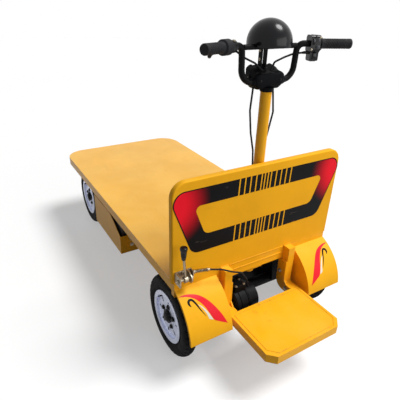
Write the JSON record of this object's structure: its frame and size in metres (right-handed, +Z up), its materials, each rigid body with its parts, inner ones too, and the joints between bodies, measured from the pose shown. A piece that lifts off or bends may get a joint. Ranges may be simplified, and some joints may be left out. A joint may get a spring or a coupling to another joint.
{
  "type": "electric platform cart",
  "caption": "Walk-on electric platform cart: flat load deck on pneumatic wheels, upright rear panel, rider's foot plate, steering post with handlebar and headlamp.",
  "frame": {"origin": "centre of the bounding box on the floor under the wheels", "axes": "+X forward, the way the cart travels, away from the foot plate; +Y to the rider's left; +Z up"},
  "size_m": [1.949, 0.817, 1.335],
  "materials": {
    "deck_paint": "satin yellow enamel on sheet steel",
    "frame_paint": "satin yellow enamel on steel section",
    "panel_paint": "satin yellow enamel on pressed sheet",
    "step_paint": "satin yellow enamel with foot wear",
    "tray_paint": "satin yellow enamel on folded sheet",
    "post_paint": "satin yellow enamel on tube",
    "battery_case": "grey moulded battery case",
    "black_paint": "satin black enamel",
    "alloy_case": "finned cast housing",
    "zinc_steel": "zinc plated steel",
    "black_plastic": "moulded black plastic",
    "grip_rubber": "ribbed black rubber",
    "lever_black": "black coated lever",
    "lens_clear": "clear lamp lens",
    "tyre_rubber": "black tyre rubber",
    "rim_silver": "silver painted pressed rim",
    "hub_black": "black painted hub"
  },
  "bodies": {
    "chassis": {"deck_sheet": "deck_paint", "side_rails": "frame_paint", "front_rail": "frame_paint", "rear_skirt": "frame_paint", "main_rails": "frame_paint", "crossmembers": "frame_paint", "rear_panel": "panel_paint", "left_fender": "panel_paint", "right_fender": "panel_paint", "foot_plate": "step_paint", "step_arms": "step_paint", "step_gussets": "step_paint", "battery_tray": "tray_paint", "tray_hangers": "tray_paint", "battery_pack": "battery_case", "rear_axle": "black_paint", "drive_motor": "black_paint", "axle_brackets": "black_paint", "front_axle": "black_paint", "front_brackets": "black_paint", "column_bearing": "black_paint", "motor_controller": "alloy_case", "lever_bracket": "zinc_steel", "hand_lever": "zinc_steel", "lever_knob": "black_plastic", "motor_leads": "grip_rubber", "lever_cable": "grip_rubber"},
    "steering": {"steering_post": "post_paint", "handlebar": "black_paint", "crown_cover": "black_plastic", "headlamp_shell": "black_plastic", "headlamp_lens": "lens_clear", "lamp_stays": "black_paint", "left_grip": "grip_rubber", "right_grip": "grip_rubber", "switch_block": "black_plastic", "brake_lever": "lever_black", "bar_leads": "grip_rubber", "post_cables": "grip_rubber"},
    "left_knuckle": {"left_knuckle": "black_paint"},
    "right_knuckle": {"right_knuckle": "black_paint"},
    "tie_rod": {"tie_rod": "zinc_steel"},
    "drag_link": {"drag_link": "zinc_steel"},
    "rear_left_wheel": {"rear_left_tyre": "tyre_rubber", "rear_left_rim": "rim_silver", "rear_left_hub": "hub_black"},
    "rear_right_wheel": {"rear_right_tyre": "tyre_rubber", "rear_right_rim": "rim_silver", "rear_right_hub": "hub_black"},
    "front_left_wheel": {"front_left_tyre": "tyre_rubber", "front_left_rim": "rim_silver", "front_left_hub": "hub_black"},
    "front_right_wheel": {"front_right_tyre": "tyre_rubber", "front_right_rim": "rim_silver", "front_right_hub": "hub_black"}
  },
  "joints": [
    {"name": "steering_turn", "type": "hinge", "parent": "chassis", "child": "steering", "pos_m": [-0.5755, 0, 0.6], "axis": [0, 0, 1], "range_deg": [-35, 35]},
    {"name": "left_knuckle_turn", "type": "hinge", "parent": "chassis", "child": "left_knuckle", "pos_m": [0.7175, 0.215, 0.18], "axis": [0, 0, 1], "range_deg": [-35, 35]},
    {"name": "right_knuckle_turn", "type": "hinge", "parent": "chassis", "child": "right_knuckle", "pos_m": [0.7175, -0.215, 0.18], "axis": [0, 0, 1], "range_deg": [-35, 35]},
    {"name": "drag_link_turn", "type": "hinge", "parent": "steering", "child": "drag_link", "pos_m": [-0.5755, -0.06, 0.325], "axis": [0, 0, 1], "range_deg": [-35, 35]},
    {"name": "tie_rod_turn", "type": "hinge", "parent": "left_knuckle", "child": "tie_rod", "pos_m": [0.6275, 0.215, 0.13], "axis": [0, 0, 1], "range_deg": [-35, 35]},
    {"name": "rear_left_spin", "type": "hinge", "parent": "chassis", "child": "rear_left_wheel", "pos_m": [-0.5415, 0.367, 0.18], "axis": [0, 1, 0], "continuous": true},
    {"name": "rear_right_spin", "type": "hinge", "parent": "chassis", "child": "rear_right_wheel", "pos_m": [-0.5415, -0.367, 0.18], "axis": [0, 1, 0], "continuous": true},
    {"name": "front_left_spin", "type": "hinge", "parent": "left_knuckle", "child": "front_left_wheel", "pos_m": [0.7175, 0.314, 0.18], "axis": [0, 1, 0], "continuous": true},
    {"name": "front_right_spin", "type": "hinge", "parent": "right_knuckle", "child": "front_right_wheel", "pos_m": [0.7175, -0.314, 0.18], "axis": [0, 1, 0], "continuous": true}
  ],
  "couplings": [
    {"joint": "left_knuckle_turn", "follows": "steering_turn", "ratio": 1},
    {"joint": "right_knuckle_turn", "follows": "steering_turn", "ratio": 1},
    {"joint": "drag_link_turn", "follows": "steering_turn", "ratio": -1},
    {"joint": "tie_rod_turn", "follows": "steering_turn", "ratio": -1}
  ]
}
